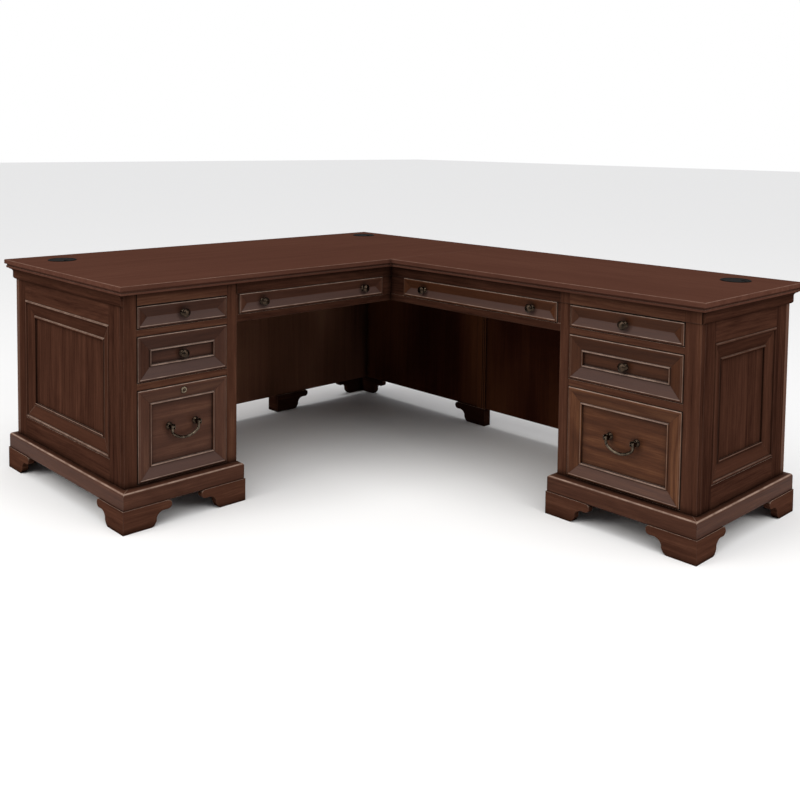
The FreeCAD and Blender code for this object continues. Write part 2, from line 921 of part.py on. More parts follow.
def drawer_list(side):
    """Every drawer of a wing: name, opening, kind of front and kind of pull."""
    left = side.left_stile
    wide = side.width - side.left_stile - side.right_stile
    found = []
    for name, (low, high) in openings(side).items():
        kind = "trough" if name == "upper_drawer" else "panel"
        found.append((name, (left, low), (wide, high - low), kind))
    knee_left, knee_right = knee_span(side)
    margin_left, margin_right = pencil_margins(side)
    start = knee_left + margin_left
    wide = knee_right - margin_right - start
    found.append(("pencil_drawer", (start, S.pencil_low), (wide, S.frieze_low - S.pencil_low), "trough"))
    return found


def bevel_tool(wide, high, margin, run, depth):
    """The hollow that a sloping border leaves in a drawer front."""
    tool = document.addObject("Part::Wedge", "bevel")
    far = margin + run
    bind(
        tool, Ymin=0, Ymax=depth, Xmin=margin, Xmax=wide - margin, Zmin=margin, Zmax=high - margin,
        X2min=far, X2max=wide - far, Z2min=far, Z2max=high - far,
    )
    return tool


def bead_ring(wide, high, margin):
    """The half-round bead round the sunk field of a front."""
    width = S.bead_width
    top = S.bevel_depth - S.bead_height
    outer = box((margin, top, margin), (wide - margin * 2, S.bead_height, high - margin * 2))
    inner = margin + width
    hole = box((inner, top, inner), (wide - inner * 2, S.bead_height, high - inner * 2))
    ring = cut(outer, hole)
    level = top.number
    on_top = lambda edge: abs(edge.YMin - level) + abs(edge.YMax - level) < 0.01
    return rounded(ring, width.number * 0.42, on_top)


def front_board(wide, high, kind):
    """One drawer front. Its face is at Y 0 and it is as thick as its board."""
    board = box((0, 0, 0), (wide, S.front_board, high))
    eased = rounded(board, 2.5, lambda edge: abs(edge.YMin) + abs(edge.YMax) < 0.01)
    if kind == "trough":
        run = high / 2 - S.front_band - 0.2
        return cut(eased, bevel_tool(wide, high, S.front_band, run, S.trough_depth))
    hollow = cut(eased, bevel_tool(wide, high, S.front_band, S.bevel_width, S.bevel_depth))
    margin = S.front_band + S.bevel_width
    inner = margin + S.bead_width
    field = box(
        (inner, 0, inner),
        (wide - inner * 2, S.field_depth, high - inner * 2),
    )
    return cut(fuse(hollow, bead_ring(wide, high, margin)), field)


def grooved_side(x, deep, high, groove_on_left):
    """A drawer side with the groove that rides on its runner."""
    thick = S.box_board
    board = box((x, 0, 0), (thick, deep, high))
    groove_x = x if groove_on_left else x + thick - S.groove_depth
    tall = S.runner_height + S.groove_play * 2
    groove = box((groove_x, -1, high / 2 - tall / 2), (S.groove_depth, deep + 2, tall))
    return cut(board, groove)


def drawer_box(wide, deep, high, grooved):
    """Sides, ends and bottom of a drawer, its low front left corner at the origin."""
    thick = S.box_board
    if grooved:
        sides = [
            grooved_side(size(0), deep, high, True),
            grooved_side(wide - thick, deep, high, False),
        ]
    else:
        sides = [
            box((0, 0, 0), (thick, deep, high)),
            box((wide - thick, 0, 0), (thick, deep, high)),
        ]
    inside = wide - thick * 2
    ends = [
        box((thick, 0, 0), (inside, thick, high)),
        box((thick, deep - thick, 0), (inside, thick, high)),
    ]
    bottom = box((thick, thick, 4), (inside, deep - thick * 2, S.box_bottom))
    return sides + ends + [bottom]


def knob():
    """A mushroom knob on a small round rose. Its foot is at Y 0 and its head at higher Y."""
    head = S.knob_size / 2
    reach = S.knob_reach
    return turned([
        (0, 0),
        (head - 4, 0),
        (head - 4, 1.5, -0.6),
        (head - 7, 3.5),
        (6, 5, 2.4),
        (6.5, reach - 13, 1.2),
        (head - 2, reach - 10),
        (head, reach - 7, -2.2),
        (2, reach),
        (0, reach),
    ])


def post_stem():
    """The turned part of a bail's post: a round rose and a waisted stem."""
    reach = S.pull_reach
    return turned([
        (0, 0),
        (11, 0),
        (11, 1.5, -0.6),
        (8.5, 3.5),
        (5.5, 5, 0.8),
        (5.5, reach - 5),
        (0, reach - 5),
    ])


def post_pair():
    """Both posts of a bail, facing -Y. Each ends in a slotted head with a fixed pin across it."""
    half = S.pull_spread / 2
    reach = S.pull_reach
    head = S.post_head
    slot = S.bail_eye_length + S.eye_play * 2
    hollow = S.bail_eye / 2 + PLAY
    posts = []
    for way in (-1, 1):
        x = half * way
        block = box((x - head / 2, -reach - 7, head / -2), (head, 15, head))
        eased = rounded(block, 1.5, lambda edge: max(edge.YLength, edge.XLength, edge.ZLength) > 1)
        stem = place(post_stem(), (x, 0, 0), 180)
        gap = box((x - slot / 2, -reach - 8, head / -2 - 1), (slot, hollow + 8, head + 2))
        pin = cylinder(S.bail_pin / 2, head - 1, (x - head / 2 + 0.5, -reach, 0))
        pin.Placement.Rotation = FreeCAD.Rotation(VECTOR(0, 1, 0), 90)
        posts.append(fuse(cut(fuse(eased, stem), gap), pin))
    return posts


def bow():
    """The bail's wire: a bow of two radii whose ends stand upright."""
    wire = S.bail_wire.number / 2
    neck = S.pull_spread.number / 2
    drop = S.bail_drop.number
    broad = 66
    tight = 17
    lean = math.asin((neck - tight) / (broad - tight))
    meet = (broad * math.sin(lean), broad - drop - broad * math.cos(lean))
    shoulder = broad - drop - (broad - tight) * math.cos(lean)
    body = document.addObject("PartDesign::Body", "bow")
    section = sketch_on(body, "YZ_Plane")
    section.addGeometry(Part.Circle(VECTOR(0, -drop, 0), VECTOR(0, 0, 1), wire))
    spine = sketch_on(body, "XZ_Plane")
    path = [
        (0, -drop, -broad * (1 - math.cos(lean / 2))),
        (*meet, -tight * (1 - math.cos((math.pi / 2 - lean) / 2))),
        (neck, shoulder),
        (neck, -2),
    ]
    draw(spine, path, closed=False)
    half = body.newObject("PartDesign::AdditivePipe", "half_bow")
    half.Profile = section
    half.Spine = (spine, [f"Edge{number}" for number in range(1, len(path))])
    both = body.newObject("PartDesign::Mirrored", "both_halves")
    both.Originals = [half]
    both.MirrorPlane = (origin_plane(body, "YZ_Plane"), [""])
    body.Tip = both
    return body


def bail():
    """The hanging bail: its bow, with a bored eye at each end that turns on a post's pin."""
    half = S.pull_spread / 2
    eyes = []
    bores = []
    for way in (-1, 1):
        for radius, long, pieces in (
            (S.bail_eye / 2, S.bail_eye_length, eyes),
            (S.bail_pin / 2 + S.lock_play, S.bail_eye_length + 4, bores),
        ):
            piece = cylinder(radius, long, (half * way - long / 2, 0, 0))
            piece.Placement.Rotation = FreeCAD.Rotation(VECTOR(0, 1, 0), 90)
            pieces.append(piece)
    return cut(fuse(bow(), *eyes), *bores)


def lock_housing():
    """The lock's barrel, facing -Y."""
    long = S.front_board + 4
    barrel = cylinder(S.lock_size / 2, long, (0, -1, 0), 0, -90)
    bore = cylinder(S.lock_plug / 2 + S.lock_play, long + 4, (0, -3, 0), 0, -90)
    return cut(barrel, bore)


def lock_plug():
    """The turning plug with its keyway, and the cam that reaches behind the rail."""
    back = S.front_board + 8
    plug = cylinder(S.lock_plug / 2, back + 3.5, (0, -1.5, 0), 0, -90)
    keyway = box((-1, -2, -3.5), (2, 8, 7))
    cam = box((0, back - 0.5, -5), (34, 3, 10))
    return fuse(cut(plug, keyway), cam)


def box_range(name, low, high):
    """The bottom and height of a drawer's box inside its opening."""
    if name == "file_drawer":
        return low + 8, high - low - 44
    if name == "pencil_drawer":
        return low + 5, high - low - 12
    return low + 6, high - low - 18


def box_depth(side, name):
    """Front to back length of a drawer's box."""
    return S.pencil_box_depth if name == "pencil_drawer" else side.box_depth


def knob_spots(name, wide):
    """Where a drawer's knobs sit across its opening."""
    if name == "pencil_drawer":
        return wide * 0.15, wide * 0.85
    return (wide / 2,)


def drawer_nodes(side, name, low, extent, kind):
    """The box, front and pull of one drawer."""
    x, z = low
    wide, high = extent
    gap = S.drawer_gap
    front_wide = wide - gap * 2
    front_high = high - gap * 2
    face = -S.front_proud
    board = front_board(front_wide, front_high, kind)
    locked = side.outer_left and name == "file_drawer"
    if locked:
        bore = cylinder(
            S.lock_size / 2, S.front_board + 10,
            (front_wide / 2, -5, S.lock_level - z - gap), 0, -90,
        )
        board = cut(board, bore)
    if kind == "trough":
        rose = S.knob_size / 2 - 4 + PLAY
        for spot in knob_spots(name, wide):
            board = cut(board, cylinder(rose, S.trough_depth, (spot - gap, 0, front_high / 2), 0, -90))
    wing_node(side, f"{name}_front", [place(board, (x + gap, face, z + gap))])
    space = S.slide_space if name == "file_drawer" else gap
    bottom, tall = box_range(name, z, z + high)
    boards = drawer_box(wide - space * 2, box_depth(side, name), tall, name != "file_drawer")
    box_at = (x + space, face + S.front_board, bottom)
    group = document.addObject("Part::Compound", "boards")
    group.Links = boards
    wing_node(side, f"{name}_box", [place(group, box_at)])
    middle = x + wide / 2
    level = z + high / 2
    if name == "file_drawer":
        level = z + 163
        seat = face + S.field_depth
        posts = [place(post, (post.Placement.Base.x + middle, seat, level)) for post in post_pair()]
        wing_node(side, "file_drawer_pull_posts", posts)
        wing_node(side, "file_drawer_bail", [place(bail(), (middle, seat - S.pull_reach, level))])
    elif name == "pencil_drawer":
        seat = face + S.trough_depth
        knobs = [place(knob(), (x + spot, seat, level), 180) for spot in knob_spots(name, wide)]
        wing_node(side, "pencil_drawer_knobs", knobs)
    else:
        seat = face + (S.trough_depth if kind == "trough" else S.field_depth)
        wing_node(side, f"{name}_knob", [place(knob(), (middle, seat, level), 180)])
    if locked:
        at = (middle, face, S.lock_level)
        wing_node(side, "lock_housing", [place_group([lock_housing()], at)])
        wing_node(side, "lock_plug", [place_group([lock_plug()], at)])


def place_group(pieces, at, turn=0):
    """Several solids moved as one."""
    group = document.addObject("Part::Compound", "group")
    group.Links = list(pieces)
    return place(group, at, turn)


def slide_members(side, low, extent):
    """Outer channel, middle member and inner member of one pair of file drawer slides."""
    x, z = low
    wide, high = extent
    bottom, tall = box_range("file_drawer", z, z + high)
    level = bottom + tall / 2
    y = S.frame_board
    long = side.slide_length
    outer = []
    middle = []
    inner = []
    for way in (1, -1):
        edge = x if way > 0 else x + wide

        def strip(start, width, low_z, high_z):
            left = edge + start if way > 0 else edge - start - width
            return box((left, y, level + low_z), (width, long, high_z - low_z))

        web = strip(size(0), size(2.5), -22.5, 22.5)
        lips = [strip(size(2.5), size(6.5), *heights) for heights in ((-22.5, -19.5), (19.5, 22.5))]
        outer.append(fuse(web, *lips))
        middle.append(strip(size(3), size(6.5), -18.5, 18.5))
        inner.append(strip(S.slide_space - 3, size(3), -15, 15))
    return outer, middle, inner


def wing_runners(side):
    """Fixed bars that carry the grooved drawers, and the outer channels of the file slides."""
    pieces = []
    for name, low, extent, _ in drawer_list(side):
        x, z = low
        wide, high = extent
        if name == "file_drawer":
            pieces += slide_members(side, low, extent)[0]
            continue
        bottom, tall = box_range(name, z, z + high)
        level = bottom + tall / 2 - S.runner_height / 2
        long = S.pencil_box_depth if name == "pencil_drawer" else side.slide_length
        reach = S.drawer_gap + S.groove_depth - 1
        for start in (x, x + wide - reach):
            pieces.append(box((start, S.frame_board, level), (reach, long, S.runner_height)))
    return place_group(pieces, (*side.front, 0), side.turn)


def drawer_runners():
    """The fixed runners of both wings."""
    return node("drawer_runners", [wing_runners(DESK), wing_runners(RETURN)])


def file_slides(side):
    """The two moving members of the file drawer's slides."""
    _, low, extent, _ = drawer_list(side)[0]
    _, middle, inner = slide_members(side, low, extent)
    wing_node(side, "file_slide_middle", middle)
    wing_node(side, "file_slide_inner", inner)


# ---------------------------------------------------------------- cable grommets and joint plates


def grommet_sleeve():
    """Flanged ring with a low ledge inside that its cap turns on."""
    outer = S.grommet_hole / 2
    inner = outer - S.grommet_wall
    return turned([
        (inner, -22),
        (outer, -22),
        (outer, 0),
        (S.grommet_size / 2, 0),
        (S.grommet_size / 2, 1, -0.5),
        (S.grommet_size / 2 - 2, S.grommet_lip),
        (inner, S.grommet_lip),
        (inner, -S.cap_board - PLAY),
        (inner - 3, -S.cap_board - PLAY),
        (inner - 3, -S.cap_board - 3),
        (inner, -S.cap_board - 3),
    ])


def grommet_cap():
    """Lid with a round-ended cable notch in its rim, standing upright."""
    rim = S.grommet_hole / 2 - S.grommet_wall - S.cap_play
    lid = turned([
        (0, -S.cap_board),
        (rim, -S.cap_board),
        (rim, 1, -0.3),
        (rim - 2, 2),
        (0, 2.6),
    ])
    place(lid, (0, 0, 0), 0, 90)
    half = S.cap_notch / 2
    notch = box((rim - 14, -half, -10), (30, half * 2, 20))
    round_end = cylinder(half, 20, (rim - 14, 0, -10))
    return cut(lid, notch, round_end)


def grommets():
    """Three sleeves in one node, and a cap for each."""
    sleeves = []
    for name, centre in grommet_centres().items():
        at = (*centre, S.height)
        sleeves.append(place(grommet_sleeve(), at, 0, 90))
        node(f"{name}_grommet_cap", [grommet_cap()], at)
    node("grommet_sleeves", sleeves)


def bracket_screws(at):
    """Centres of the four screws of one joint plate."""
    x, y = at
    return [(x + dx, y + dy) for dx in (-40, 40) for dy in (-12, 12)]


def joint_plates():
    """Centres of the two plates that tie the return's top to the desk's."""
    return [(S.desk_depth, size(-80)), (S.desk_depth, size(-150))]


def joining_brackets():
    """Steel plates under the seam between the tops, with their screws."""
    thick = S.bracket_thickness
    pieces = []
    for at in joint_plates():
        pieces.append(box((at[0] - 50, at[1] - 20, BODY_TOP - thick), (100, 40, thick)))
        for spot in bracket_screws(at):
            head = cylinder(4, 2, (*spot, BODY_TOP - thick - 2))
            pieces.append(head)
    return node("joining_brackets", pieces)


# ---------------------------------------------------------------- whole desk


def build_wing(side):
    """Every sub-part that both wings have."""
    side_frame(side)
    side_panel(side)
    pedestal_back(side)
    case_boards(side)
    face_frame(side)
    plinth(side)
    knee_apron(side)
    for name, low, extent, kind in drawer_list(side):
        drawer_nodes(side, name, low, extent, kind)
    file_slides(side)


def check_and_write():
    """Stop on any failed object or bad shape, then write one file for each node."""
    document.recompute()
    for item in document.Objects:
        faults = {"Invalid", "Error"} & set(item.State)
        if faults:
            raise RuntimeError(f"{item.Label}: {faults}")
    os.makedirs("parts", exist_ok=True)
    for group in nodes:
        shape = group.Shape
        if shape.isNull() or not shape.isValid() or not shape.Solids:
            raise RuntimeError(f"{group.Label} has no valid solid")
        shape.exportStep(f"parts/{group.Label}.step")
    print(len(nodes), "nodes,", sum(len(group.Shape.Solids) for group in nodes), "solids")


desk_top()
return_top()
cornice_moulding()
build_wing(DESK)
build_wing(RETURN)
drawer_runners()
desk_modesty_panel()
desk_end_panel()
return_modesty_panel()
desk_feet()
return_feet()
grommets()
joining_brackets()
check_and_write()
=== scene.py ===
"""The corner desk's looks, light and camera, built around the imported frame. Lengths are in metres."""
import math

import bpy
from mathutils import Matrix, Vector


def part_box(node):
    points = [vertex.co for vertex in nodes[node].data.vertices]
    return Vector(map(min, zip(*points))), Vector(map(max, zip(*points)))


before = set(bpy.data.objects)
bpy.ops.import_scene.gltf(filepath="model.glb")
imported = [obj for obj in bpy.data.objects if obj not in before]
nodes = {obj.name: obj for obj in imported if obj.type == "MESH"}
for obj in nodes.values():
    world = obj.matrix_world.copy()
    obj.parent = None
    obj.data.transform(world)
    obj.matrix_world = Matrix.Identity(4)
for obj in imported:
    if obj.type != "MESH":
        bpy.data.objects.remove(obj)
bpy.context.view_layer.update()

# ---------------------------------------------------------------- shader helpers

FLOAT = "NodeSocketFloat"
VECTOR = "NodeSocketVector"
COLOUR = "NodeSocketColor"
BEVEL_SAMPLES = 6
HOLLOW_SAMPLES = 8
SHARP_EDGE = (0.985, 0.86)  # the cosine at which an edge begins to show, and at which it shows fully


def put(tree, socket, value):
    """Feed a socket from another socket, or set its constant."""
    if isinstance(value, bpy.types.NodeSocket):
        tree.links.new(value, socket)
    else:
        socket.default_value = value


def calc(tree, operation, *values, clamp=False):
    """A Math node's result."""
    node = tree.nodes.new("ShaderNodeMath")
    node.operation = operation
    node.use_clamp = clamp
    for socket, value in zip(node.inputs, values):
        put(tree, socket, value)
    return node.outputs[0]


def times(tree, first, second, clamp=False):
    """The product of two numbers."""
    return calc(tree, "MULTIPLY", first, second, clamp=clamp)


def centred(tree, value):
    """A number from 0 to 1 as a swing round 0."""
    return calc(tree, "SUBTRACT", value, 0.5)


def added(tree, share, part, rest):
    """A share of one number on top of another."""
    return calc(tree, "MULTIPLY_ADD", part, share, rest)


def vector_calc(tree, operation, *values):
    """A Vector Math node's result."""
    node = tree.nodes.new("ShaderNodeVectorMath")
    node.operation = operation
    for socket, value in zip(node.inputs, values):
        put(tree, socket, value)
    return node.outputs["Value" if operation == "DOT_PRODUCT" else "Vector"]


def joined(tree, x, y, z):
    """A vector from three numbers."""
    node = tree.nodes.new("ShaderNodeCombineXYZ")
    for socket, value in zip(node.inputs, (x, y, z)):
        put(tree, socket, value)
    return node.outputs[0]


def parted(tree, vector):
    """A vector's three numbers."""
    node = tree.nodes.new("ShaderNodeSeparateXYZ")
    put(tree, node.inputs[0], vector)
    return list(node.outputs)


def choose(tree, mask, when_zero, when_one):
    """Mix two vectors by a mask."""
    node = tree.nodes.new("ShaderNodeMix")
    node.data_type = "VECTOR"
    put(tree, node.inputs["Factor"], mask)
    put(tree, node.inputs[4], when_zero)
    put(tree, node.inputs[5], when_one)
    return node.outputs[1]


def choose_number(tree, mask, when_zero, when_one):
    """Mix two numbers by a mask."""
    first = joined(tree, when_zero, 0.0, 0.0)
    second = joined(tree, when_one, 0.0, 0.0)
    return parted(tree, choose(tree, mask, first, second))[0]


def blended(tree, factor, first, second):
    """Mix two colours."""
    node = tree.nodes.new("ShaderNodeMix")
    node.data_type = "RGBA"
    put(tree, node.inputs["Factor"], factor)
    put(tree, node.inputs[6], first)
    put(tree, node.inputs[7], second)
    return node.outputs[2]


def noise(tree, vector, stretch, detail=2.0, roughness=0.5, shift=(0.0, 0.0, 0.0)):
    """Fractal noise on coordinates multiplied by stretch, centred near 0.5."""
    scaled = vector_calc(tree, "MULTIPLY_ADD", vector, stretch, shift)
    node = tree.nodes.new("ShaderNodeTexNoise")
    put(tree, node.inputs["Vector"], scaled)
    node.inputs["Scale"].default_value = 1.0
    node.inputs["Detail"].default_value = detail
    node.inputs["Roughness"].default_value = roughness
    return node.outputs["Fac"]


def spread(tree, value, low, high, to_low=0.0, to_high=1.0):
    """Map one range to another, clamped."""
    node = tree.nodes.new("ShaderNodeMapRange")
    put(tree, node.inputs["Value"], value)
    numbers = {"From Min": low, "From Max": high, "To Min": to_low, "To Max": to_high}
    for name, number in numbers.items():
        node.inputs[name].default_value = number
    return node.outputs["Result"]


def bumped(tree, height, normal, strength, distance):
    """A normal, roughened by a height."""
    bump = tree.nodes.new("ShaderNodeBump")
    bump.inputs["Strength"].default_value = strength
    bump.inputs["Distance"].default_value = distance
    put(tree, bump.inputs["Height"], height)
    put(tree, bump.inputs["Normal"], normal)
    return bump.outputs[0]


def new_group(name, inputs, outputs):
    """A node group with its sockets: the tree, what it is given and what it gives."""
    tree = bpy.data.node_groups.new(name, "ShaderNodeTree")
    for label, kind in inputs:
        tree.interface.new_socket(name=label, in_out="INPUT", socket_type=kind)
    for label, kind in outputs:
        tree.interface.new_socket(name=label, in_out="OUTPUT", socket_type=kind)
    start = tree.nodes.new("NodeGroupInput")
    end = tree.nodes.new("NodeGroupOutput")
    return tree, start.outputs, end.inputs


def new_material(name):
    """A node material, its tree and its shader."""
    material = bpy.data.materials.new(name)
    material.use_nodes = True
    tree = material.node_tree
    return material, tree, tree.nodes["Principled BSDF"]


def edges_and_hollows(tree, bevel_radius, hollow_reach):
    """The rounded-edge normal, a mask of the sharp edges, and how open each point is."""
    geometry = tree.nodes.new("ShaderNodeNewGeometry")
    bevel = tree.nodes.new("ShaderNodeBevel")
    bevel.samples = BEVEL_SAMPLES
    bevel.inputs["Radius"].default_value = bevel_radius
    facing = vector_calc(tree, "DOT_PRODUCT", bevel.outputs[0], geometry.outputs["Normal"])
    edge = spread(tree, facing, *SHARP_EDGE)
    hollow = tree.nodes.new("ShaderNodeAmbientOcclusion")
    hollow.samples = HOLLOW_SAMPLES
    hollow.inputs["Distance"].default_value = hollow_reach
    return bevel.outputs[0], edge, hollow.outputs["AO"]


# ---------------------------------------------------------------- stained wood

# How often a pattern repeats in a metre, along the grain and then across it both ways
WARP = (2.2, 9.0, 9.0)
STREAKS = (1.6, 34.0, 34.0)
BANDS = (4.5, 130.0, 130.0)
FIBRES = (22.0, 900.0, 900.0)
HILLS = (1.25, 7.5, 7.5)
PORES = (75.0, 2300.0, 2300.0)
CLOUDS = (26.0, 26.0, 26.0)

WARP_DEPTH = 0.016
RINGS = 26.0  # growth rings from the lowest to the highest of the hills
STREAK_SHARE = 0.75  # how much of the tone each pattern is
BAND_SHARE = 0.55
FIBRE_SHARE = 0.5
MIDDLE_TONE = 0.47
PORE_DEPTH = 0.35
UP_SHEEN_SHARE = 0.5  # how much painted sheen lies on upward bevels, and how much painted shade on downward ones
DOWN_SHADE = 0.35
CROWN_HIGHLIGHT_WEAR = 0.8  # how much painted highlight and rubbed wear lie on the rounded tops of mouldings
JOINT_DEPTH = 0.75
HIGHLIGHT_WEAR_PALENESS = 0.85
WOOD_BEVEL = 0.0026
WOOD_HOLLOW = 0.022
WOOD_BUMP = (0.35, 0.00035)

PORE = (0.008, 0.003, 0.002, 1.0)
# The colour of the glaze and painted shade in the hollows
GLAZE_AND_SHADE = (0.0035, 0.0015, 0.001, 1.0)
JOINT = (0.004, 0.002, 0.001, 1.0)
# The colour of the painted highlights and rubbed wear on edges, crowns and ridges
HIGHLIGHT_WEAR_COLOUR = (0.52, 0.38, 0.30, 1.0)

# Stains, each with its dark, middle and light colour
CHERRY = ((0.020, 0.0062, 0.0028, 1.0), (0.070, 0.0245, 0.0105, 1.0), (0.170, 0.070, 0.030, 1.0))
PLUM = ((0.020, 0.0072, 0.0045, 1.0), (0.068, 0.0275, 0.0165, 1.0), (0.160, 0.074, 0.042, 1.0))
TOP = ((0.034, 0.0125, 0.0080, 1.0), (0.082, 0.0335, 0.0225, 1.0), (0.135, 0.062, 0.040, 1.0))
INSIDE = ((0.020, 0.0070, 0.0035, 1.0), (0.050, 0.0190, 0.0090, 1.0), (0.100, 0.042, 0.020, 1.0))
PALE = ((0.20, 0.105, 0.048, 1.0), (0.40, 0.25, 0.13, 1.0), (0.60, 0.43, 0.26, 1.0))
# The colour of the painted sheen on bevels that face up
PAINTED_SHEEN = (0.100, 0.064, 0.056, 1.0)


def wood_group():
    """Stained wood. Grain runs along the first coordinate of the vector it is given."""
    colours = [(label, COLOUR) for label in ("Dark", "Middle", "Light", "UpwardSheen")]
    amounts = [(label, FLOAT) for label in ("Tone", "Joint", "Ridge", "GlazeShade", "Figure", "Streak", "HighlightWear")]
    tree, given, result = new_group(
        "wood_look",
        [("Grain", VECTOR), *amounts, *colours],
        [("Color", COLOUR), ("Roughness", FLOAT), ("Normal", VECTOR)],
    )
    grain = given["Grain"]
    along, across, deep = parted(tree, grain)
    across = added(tree, WARP_DEPTH, centred(tree, noise(tree, grain, WARP, 2.0)), across)
    bent = joined(tree, along, across, deep)
    streak = noise(tree, bent, STREAKS, 3.0, 0.6)
    band = noise(tree, bent, BANDS, 4.0, 0.62, (3.1, 0.0, 0.0))
    fibre = noise(tree, bent, FIBRES, 2.0, 0.6)
    hills = noise(tree, bent, HILLS, 1.2, 0.45, (0.0, 5.7, 1.3))
    pore = noise(tree, bent, PORES, 1.0, 0.5, (1.0, 2.0, 3.0))
    cloud = noise(tree, grain, CLOUDS, 3.0, 0.6, (7.0, 1.0, 4.0))

    # The stain's colour, from the patterns
    ring = spread(tree, calc(tree, "PINGPONG", times(tree, hills, RINGS), 1.0), 0.0, 0.75)
    figure = times(tree, calc(tree, "SUBTRACT", ring, 0.55), given["Figure"])
    tone = times(tree, centred(tree, streak), STREAK_SHARE)
    tone = added(tree, BAND_SHARE, centred(tree, band), tone)
    tone = added(tree, FIBRE_SHARE, centred(tree, fibre), tone)
    tone = calc(tree, "MULTIPLY_ADD", tone, given["Streak"], MIDDLE_TONE)
    tone = calc(tree, "ADD", tone, figure)
    tone = calc(tree, "ADD", tone, given["Tone"], clamp=True)
    colour = blended(tree, spread(tree, tone, 0.0, 0.5), given["Dark"], given["Middle"])
    colour = blended(tree, spread(tree, tone, 0.5, 1.0), colour, given["Light"])
    colour = blended(tree, times(tree, spread(tree, pore, 0.60, 0.74), PORE_DEPTH), colour, PORE)

    # Painted sheen on bevels that face up, painted shade on those that face down
    normal, edge, open_air = edges_and_hollows(tree, WOOD_BEVEL, WOOD_HOLLOW)
    rise = parted(tree, normal)[2]
    colour = blended(tree, spread(tree, rise, 0.08, 0.17, 0.0, UP_SHEEN_SHARE), colour, given["UpwardSheen"])
    colour = blended(tree, spread(tree, rise, -0.08, -0.17, 0.0, DOWN_SHADE), colour, given["Dark"])

    # Dark glaze and painted shade in the hollows
    shut = calc(tree, "POWER", calc(tree, "SUBTRACT", 1.0, open_air), 0.9)
    shut = times(tree, shut, given["GlazeShade"])
    shut = times(tree, shut, spread(tree, cloud, 0.3, 0.7, 0.8, 1.15), clamp=True)

    # Painted highlights, with stain rubbed away as wear, on edges, crowns and ridges; edges that face up
    # get the most
    crown = times(tree, spread(tree, rise, 0.42, 0.62), spread(tree, rise, 0.94, 0.84))
    highlight_and_wear_mask = times(tree, edge, spread(tree, rise, 0.05, 0.6, 0.10, 1.0))
    highlight_and_wear_mask = calc(tree, "MAXIMUM", highlight_and_wear_mask, times(tree, crown, CROWN_HIGHLIGHT_WEAR))
    highlight_and_wear_mask = times(tree, highlight_and_wear_mask, calc(tree, "SUBTRACT", 1.0, shut, clamp=True))
    highlight_and_wear_mask = calc(tree, "MAXIMUM", highlight_and_wear_mask, given["Ridge"])
    highlight_and_wear_mask = times(tree, highlight_and_wear_mask, spread(tree, cloud, 0.35, 0.65, 0.45, 1.0))
    warm = blended(tree, HIGHLIGHT_WEAR_PALENESS, given["Light"], HIGHLIGHT_WEAR_COLOUR)
    colour = blended(tree, shut, colour, GLAZE_AND_SHADE)
    colour = blended(tree, times(tree, highlight_and_wear_mask, given["HighlightWear"]), colour, warm)
    colour = blended(tree, times(tree, given["Joint"], JOINT_DEPTH), colour, JOINT)

    rough = added(tree, 0.25, shut, calc(tree, "MULTIPLY_ADD", band, 0.22, 0.26))
    height = added(tree, 0.5, fibre, times(tree, band, 0.5))
    height = added(tree, -3.0, given["Joint"], height)
    put(tree, result["Color"], colour)
    put(tree, result["Roughness"], rough)
    put(tree, result["Normal"], bumped(tree, height, normal, *WOOD_BUMP))
    return tree


WOOD = wood_group()

# ---------------------------------------------------------------- which way each board's grain runs

BOARD_SHIFT = (1.7, 2.3)
JOINT_HALF = 0.0006
RAIL_PITCH = 0.19  # rails in different steps of this height are different boards
PANEL_CLOUDS = (1.3, 3.2, 3.2)
TOP_CLOUDS = (1.6, 3.4, 3.4)
TOP_CLOUD_DEPTH = 0.45
KNEE_SHADE = -0.45
KNEE_FADE = 0.01

# How far the tones of neighbouring boards lie apart
LEAF_TONES = 0.04
RUN_TONES = 0.08
MITRE_TONES = 0.12
STILE_TONES = 0.16


def step_outside(tree, value, low, high):
    """How far a coordinate is outside a range, negative inside it."""
    away = calc(tree, "ABSOLUTE", calc(tree, "SUBTRACT", value, (low + high) / 2))
    return calc(tree, "SUBTRACT", away, (high - low) / 2)


def thin_line(tree, value, half=JOINT_HALF):
    """1 where a value is near 0, as a line of this half width."""
    return spread(tree, calc(tree, "ABSOLUTE", value), half, half * 0.4)


class Boards:
    """A material's object coordinates as the boards of one face plane: U sideways, Z up, W deep."""

    def __init__(self, tree, side):
        self.tree = tree
        coords = tree.nodes.new("ShaderNodeTexCoord")
        self.x, self.y, self.z = parted(tree, coords.outputs["Object"])
        self.normal = parted(tree, coords.outputs["Normal"])
        self.u, self.w = (self.x, self.y) if side == "X" else (self.y, self.x)
        self.normal_u = self.normal["XY".index(side)]

    def along(self, way):
        """Coordinates for grain that runs along U or Z."""
        first, second = (self.u, self.z) if way == "U" else (self.z, self.u)
        return joined(self.tree, first, second, self.w)

    def moved(self, vector, number):
        """Coordinates shifted by the board's number, so that no two boards are cut from one place."""
        shift = joined(self.tree, *(times(self.tree, number, step) for step in BOARD_SHIFT), 0.0)
        return vector_calc(self.tree, "ADD", vector, shift)

    def tone_of(self, number, apart):
        """A random darker or lighter tone for each board number."""
        node = self.tree.nodes.new("ShaderNodeTexWhiteNoise")
        node.noise_dimensions = "1D"
        put(self.tree, node.inputs["W"], number)
        return times(self.tree, centred(self.tree, node.outputs["Value"]), apart)


# Each rule takes the boards. It gives the grain's vector, the tone, the joint lines and the ridges' lines
# of painted highlight and rubbed wear.


def grain_straight(boards, way):
    """Boards with all their grain one way."""
    return boards.along(way), 0.0, 0.0, 0.0


